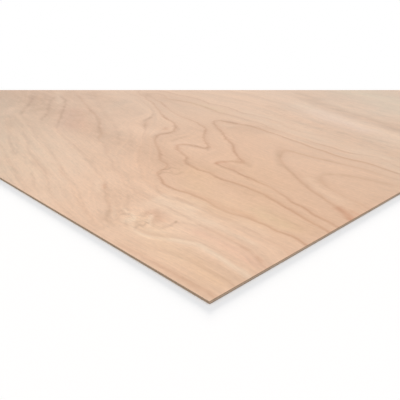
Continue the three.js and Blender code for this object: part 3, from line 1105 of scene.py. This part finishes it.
def wood_shade(tree, where, noises):
    """What the stored colour is multiplied by: 1 and a few hundredths more or less. The streaks are
    quieter inside the first rings, and flecks come in where the fibres are unruly."""
    ring, unruly = (add(tree, "Attribute", attribute_name=kept).outputs["Fac"]
                    for kept in ("ring", "unruly"))
    quiet = add(tree, "MapRange", {0: ring, 1: QUIET_RINGS[0], 2: QUIET_RINGS[1],
                                   3: STREAK_DEPTHS[0], 4: STREAK_DEPTHS[1]})
    streaky = add(tree, "MapRange", {0: noises["streak"], 1: STREAK_LOW, 2: STREAK_HIGH,
                                     3: -1.0, 4: 1.0})
    shade = add(tree, "Math", {0: streaky, 1: quiet, 2: MIDDLE_SHADE}, operation="MULTIPLY_ADD")
    for name, depth in SHADE_DEPTHS.items():
        factor = add(tree, "MapRange", {0: noises[name], 1: NOISE_LOW, 2: NOISE_HIGH,
                                        3: 1 - depth, 4: 1 + depth})
        shade = add(tree, "Math", {0: shade, 1: factor}, operation="MULTIPLY")
    # Round the knot the fibres stand on end here and lie flat there, so it is flecked every 4 mm.
    at = add(tree, "Mapping", {"Vector": where, "Scale": (1 / (4 * MM), 1 / (7 * MM), 1),
                               "Rotation": (0, 0, FLECK_TURN)})
    fleck = add(tree, "TexNoise", {"Vector": at, "Scale": 1.0, "Detail": 2.0, "Distortion": 1.6})
    fleck = add(tree, "MapRange", {0: fleck, 1: NOISE_LOW, 2: NOISE_HIGH,
                                   3: -FLECK_DEPTH, 4: FLECK_DEPTH})
    flecked = add(tree, "Math", {0: fleck, 1: unruly, 2: 1.0}, operation="MULTIPLY_ADD")
    return add(tree, "Math", {0: shade, 1: flecked}, operation="MULTIPLY")


palest = np.prod([1 + depth for depth in SHADE_DEPTHS.values()])
print("grain, fibre and mottle together make the wood up to", round(float(palest), 2), "times as pale")

# %% [markdown]
# ### Sanded birch
# Now the parts come together: the stored colour, shaded by the streaks and fibres, then the late wood
# of the ring lines and the pores over it. The surface is sanded and bare, so it is matt, with an IOR
# near that of cellulose. Sanding leaves a nap of cut fibres, too short to model, and Blender's sheen
# stands in for it. A coat would make it lacquered, so there is none.

# %% Sanded birch
PORE_LOW, PORE_HIGH = 0.62, 0.8  # only the peaks of the noise are pores
PORE_DEPTH = 0.22  # share of late wood in the colour of a pore
SMOOTHEST, ROUGHEST = 0.5, 0.62
RELIEF = 0.05 * MM  # height of the fibres
RELIEF_STRENGTH = 0.25  # how strongly it turns the light
NAP = 0.3  # sheen of the cut fibres


def bare_material(name):
    """A new material and its node tree, with nothing in it."""
    material = bpy.data.materials.new(name)
    material.use_nodes = True
    material.node_tree.nodes.clear()
    return material, material.node_tree


def sanded_birch(name, late_wood):
    """Rotary-cut birch, sanded: a matt pale face with dark ring lines, soft streaks and pores."""
    material, tree = bare_material(name)
    where = add(tree, "TexCoord").outputs["Object"]
    late, wavered = ring_lines(tree, where)
    noises = wood_noises(tree, where, wavered)
    shade = wood_shade(tree, where, noises)
    pore = add(tree, "MapRange", {0: noises["pore"], 1: PORE_LOW, 2: PORE_HIGH,
                                  3: 0.0, 4: PORE_DEPTH})
    colour = add(tree, "Attribute", attribute_name="wood_colour").outputs["Color"]
    colour = add(tree, "VectorMath", {0: colour, "Scale": shade}, operation="SCALE")
    for share in (late, pore):
        mixed = add(tree, "Mix", {0: share, 6: colour, 7: paint(late_wood)}, data_type="RGBA")
        colour = mixed.outputs[2]

    relief = add(tree, "Math", {0: noises["fibre"], 1: pore}, operation="SUBTRACT")
    bump = add(tree, "Bump", {"Height": relief, "Strength": RELIEF_STRENGTH, "Distance": RELIEF})
    rough = add(tree, "MapRange", {0: noises["streak"], 3: SMOOTHEST, 4: ROUGHEST})
    wood = add(tree, "BsdfPrincipled", {"Base Color": colour, "Roughness": rough, "IOR": 1.45,
                                        "Normal": bump, "Sheen Weight": NAP, "Sheen Roughness": 0.3})
    add(tree, "OutputMaterial", {0: wood})
    return material


FACE_FINISH = sanded_birch("rotary_cut_birch_sanded", "#ad744d")
BACK_FINISH = sanded_birch("rotary_cut_birch_back", "#a16d4a")
print(FACE_FINISH.name, "has", len(FACE_FINISH.node_tree.nodes), "nodes")

# %% [markdown]
# ## The finish of the sawn edges
# A saw cuts each veneer in one of two ways. Along the grain it leaves a smooth pale strip with fine
# lines down its length. Across the grain it opens the ends of the fibres, which drink in light and
# dust, so end grain looks dark and speckled. The two outer veneers and the core swap ways from one
# edge of the sheet to the next, and a hair of brown glue shows where they meet. The edge could be
# one painted strip, but then the order of the colours would be the same on all four sides. The open
# ends of the vessels are a tenth of a millimetre wide and are drawn half a millimetre, to show.

# %% Sawn edges and glued faces
GLUE_HEIGHTS = (CORE[0][2], CORE[1][2])
GLUE_LINE = 0.07 * MM  # half the height of the line of glue
GLUE_SHARE = 0.7  # how strongly it covers the wood
GLUE = "#6d4a33"
SAW_MARK_SIZE = (1.8, 1.8, 9)  # mm along X, Y and Z, of one upright mark
SAW_DARKEST, SAW_PALEST = 0.9, 1.06  # what a mark multiplies the colour by


def sawn_birch(name, light, dark, grain):
    """A sawn edge: light and dark wood mixed by noise of the size grain, in mm along X, Y and Z,
    the saw's upright marks over it, and the glue lines."""
    material, tree = bare_material(name)
    where = add(tree, "TexCoord").outputs["Object"]
    at = add(tree, "Mapping", {"Vector": where, "Scale": [1 / (size * MM) for size in grain]})
    fibre = add(tree, "TexNoise", {"Vector": at, "Scale": 1.0, "Detail": 4.0})
    fibre = add(tree, "MapRange", {0: fibre, 1: NOISE_LOW, 2: NOISE_HIGH})
    at = add(tree, "Mapping", {"Vector": where, "Scale": [1 / (size * MM) for size in SAW_MARK_SIZE]})
    saw = add(tree, "TexNoise", {"Vector": at, "Scale": 1.0, "Detail": 2.0})
    saw = add(tree, "MapRange", {0: saw, 1: NOISE_LOW, 2: NOISE_HIGH, 3: SAW_DARKEST, 4: SAW_PALEST})
    colour = add(tree, "Mix", {0: fibre, 6: paint(dark), 7: paint(light)}, data_type="RGBA").outputs[2]
    colour = add(tree, "VectorMath", {0: colour, "Scale": saw}, operation="SCALE")
    height = add(tree, "SeparateXYZ", {0: where}).outputs[2]
    for glue_height in GLUE_HEIGHTS:
        glued = add(tree, "Math", {0: height, 1: glue_height, 2: GLUE_LINE}, operation="COMPARE")
        glued = add(tree, "Math", {0: glued, 1: GLUE_SHARE}, operation="MULTIPLY")
        colour = add(tree, "Mix", {0: glued, 6: colour, 7: paint(GLUE)}, data_type="RGBA").outputs[2]
    bump = add(tree, "Bump", {"Height": fibre, "Strength": 0.4, "Distance": 0.1 * MM})
    wood = add(tree, "BsdfPrincipled", {"Base Color": colour, "Roughness": 0.8, "IOR": 1.4,
                                        "Normal": bump})
    add(tree, "OutputMaterial", {0: wood})
    return material


# Sawn along the grain: smooth and pale, with fine lines down the length of the edge.
LONG_WAYS_Y = sawn_birch("sawn_birch_with_the_grain_y", "#e6cab0", "#cfb196", (6, 60, 0.25))
LONG_WAYS_X = sawn_birch("sawn_birch_with_the_grain_x", "#e6cab0", "#cfb196", (60, 6, 0.25))
# Sawn across the grain: dark and speckled. The core is a paler cut of the log.
END_GRAIN = sawn_birch("sawn_birch_end_grain", "#b89a7d", "#98795f", (0.5, 0.5, 0.3))
CORE_END_GRAIN = sawn_birch("sawn_birch_core_end_grain", "#d0b396", "#b08f72", (0.5, 0.5, 0.3))
# The faces inside the sheet, brown with glue, which don't show.
GLUED = sawn_birch("birch_glued_face", "#c29a78", "#a87d5c", (2, 60, 60))

# shown side, edges that face -X and +X, edges that face -Y and +Y, hidden side
for piece, finishes in (
    (face, (FACE_FINISH, LONG_WAYS_Y, END_GRAIN, GLUED)),
    (core, (GLUED, CORE_END_GRAIN, LONG_WAYS_X, GLUED)),
    (back, (BACK_FINISH, LONG_WAYS_Y, END_GRAIN, GLUED)),
):
    for finish in finishes:
        piece.data.materials.append(finish)
    print(piece.name, "has the finishes", [finish.name for finish in finishes])

# %% [markdown]
# ## Floor and light
# The sheet lies on a plain white floor under soft light from all round. The floor is drawn white to
# the camera, and greyer to the light that bounces off it, so that it doesn't tint the thin edges.

# %% Floor
FLOOR_REACH = 30.0  # m from the middle of the sheet
FLOOR_DROP = 0.02 * MM  # clear of the back veneer, so that the two don't flicker
WHITE = (1, 1, 1, 1)

floor_corners = [(x * FLOOR_REACH, y * FLOOR_REACH, -FLOOR_DROP)
                 for x, y in ((-1, -1), (1, -1), (1, 1), (-1, 1))]
floor_mesh = bpy.data.meshes.new("studio_floor")
floor_mesh.from_pydata(floor_corners, [], [(0, 1, 2, 3)])
floor = bpy.data.objects.new("studio_floor", floor_mesh)
bpy.context.collection.objects.link(floor)

floor_paint, tree = bare_material("matt_white_floor")
seen = add(tree, "LightPath").outputs["Is Camera Ray"]
shade = add(tree, "Mix", {0: seen, 6: paint("#d8d8d8"), 7: WHITE}, data_type="RGBA").outputs[2]
matt = add(tree, "BsdfDiffuse", {"Color": shade})
add(tree, "OutputMaterial", {0: matt})
floor_mesh.materials.append(floor_paint)
print("floor reaches", FLOOR_REACH, "m each way")

# %% [markdown]
# Three kinds of light share the work. A dome, the world itself, lights everything from all round. A
# broad light hangs far overhead. A low broad light stands far behind, and since the sheet is only a
# few millimetres thick, this is what throws a soft shadow towards the eye that is wide enough to
# see. Both lamps are Blender suns with a wide angle, because a sun's light doesn't fall off, and so
# the floor stays even however far it goes. Each one's share of the light on the face is written
# out. They add up to a little over 1, because the tints and the wide angle take some away, and so a
# colour comes out as it was written. The dome is faintly cool and the lamps faintly warm, which
# adds up to white.

# %% Light
DOME_SHARE = 0.58
OVERHEAD_SHARE = 0.29
LOW_SHARE = 0.20
OVERHEAD_SPREAD = math.radians(60)
LOW_HEIGHT = math.radians(10.5)
LOW_SPREAD = math.radians(12)
COOL = "#f2f8ff"
WARM = "#fff6ec"

world = bpy.data.worlds.new("studio")
world.use_nodes = True
tree = world.node_tree
tree.nodes.clear()
path = add(tree, "LightPath")
seen = path.outputs["Is Camera Ray"]
for kind in ("Is Glossy Ray", "Is Transmission Ray"):
    seen = add(tree, "Math", {0: seen, 1: path.outputs[kind]}, operation="MAXIMUM")
plain = add(tree, "Background", {"Color": WHITE, "Strength": 1.0})
dome = add(tree, "Background", {"Color": paint(COOL), "Strength": DOME_SHARE})
sky = add(tree, "MixShader", {0: seen, 1: dome, 2: plain})
add(tree, "OutputWorld", {0: sky})
bpy.context.scene.world = world


def hang_sun(name, height, spread, share):
    """A sun behind the sheet at height, an angle above the floor, that gives a level face share of
    its light: a level face catches sin(height) of a sun's energy and returns 1/pi of that."""
    lamp = bpy.data.lights.new(name, "SUN")
    lamp.color = paint(WARM)[:3]
    lamp.angle = spread
    lamp.energy = share * math.pi / math.sin(height)
    # Where a sun hangs doesn't matter, only how it is turned.
    holder = bpy.data.objects.new(name, lamp)
    holder.location = near_corner + (0, 0, 1)
    holder.rotation_euler = (height - math.pi / 2, 0, -HEADING)
    bpy.context.collection.objects.link(holder)
    return holder


hang_sun("overhead_light", math.pi / 2, OVERHEAD_SPREAD, OVERHEAD_SHARE)
low = hang_sun("low_back_light", LOW_HEIGHT, LOW_SPREAD, LOW_SHARE)
low.visible_glossy = False

bpy.context.scene.view_settings.view_transform = "Standard"
